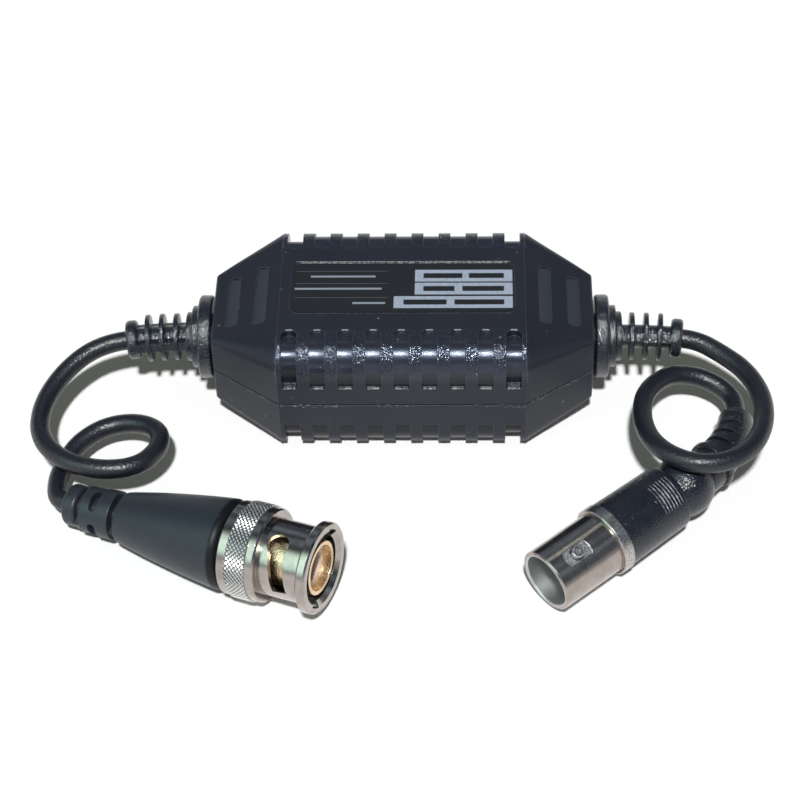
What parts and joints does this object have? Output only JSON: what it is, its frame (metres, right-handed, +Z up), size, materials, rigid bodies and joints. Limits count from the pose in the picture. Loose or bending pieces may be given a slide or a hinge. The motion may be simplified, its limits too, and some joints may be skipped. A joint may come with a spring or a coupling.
{
  "type": "video ground loop isolator",
  "caption": "In-line video ground loop isolator: a ribbed moulded housing with a short coaxial lead at each end, one ending in a bayonet plug and one in a bayonet jack.",
  "frame": {"origin": "middle of the housing's underside, on the surface that it lies on", "axes": "+X along the housing towards the jack's side, +Y away from the connectors, +Z up"},
  "size_m": [0.1139, 0.0662, 0.021],
  "materials": {
    "housing": "fine texture",
    "label": "printed film",
    "board": "solder mask",
    "ferrite": "matt",
    "winding": "enamelled wire",
    "capacitor": "dipped",
    "cable": "smooth",
    "moulding": "fine texture",
    "nickel": "nickel plated",
    "contact": "plated",
    "gold": "plated",
    "insulator": "natural",
    "seal": "silicone",
    "spring": "hardened"
  },
  "bodies": {
    "base": {"upper_shell": "housing", "lower_shell": "housing", "label": "label", "circuit_board": "board", "transformer_core": "ferrite", "primary_winding": "winding", "secondary_winding": "winding", "left_capacitor": "capacitor", "right_capacitor": "capacitor", "left_inner_lead": "cable", "right_inner_lead": "cable", "left_strain_relief": "moulding", "right_strain_relief": "moulding", "left_cable": "cable", "right_cable": "cable", "spring_washer": "spring", "snap_ring": "spring", "plug_body": "contact", "plug_gasket": "seal", "plug_insulator": "insulator", "plug_pin": "gold", "plug_ferrule": "nickel", "plug_boot": "moulding", "plug_inner_lead": "cable", "jack_body": "nickel", "jack_insulator": "insulator", "jack_contact": "gold", "jack_ferrule": "nickel", "jack_boot": "moulding", "jack_inner_lead": "cable"},
    "nut_carrier": {"thrust_washer": "spring"},
    "nut": {"coupling_nut": "nickel"}
  },
  "joints": [
    {"name": "nut_press", "type": "slide", "parent": "base", "child": "nut_carrier", "axis": [0.9195, -0.379, 0.1045], "range_m": [0, 0.0006], "stiffness_N_per_m": 8000},
    {"name": "nut_turn", "type": "hinge", "parent": "nut_carrier", "child": "nut", "pos_m": [-0.02386, -0.03976, 0.00698], "axis": [0.9195, -0.379, 0.1045], "continuous": true}
  ]
}
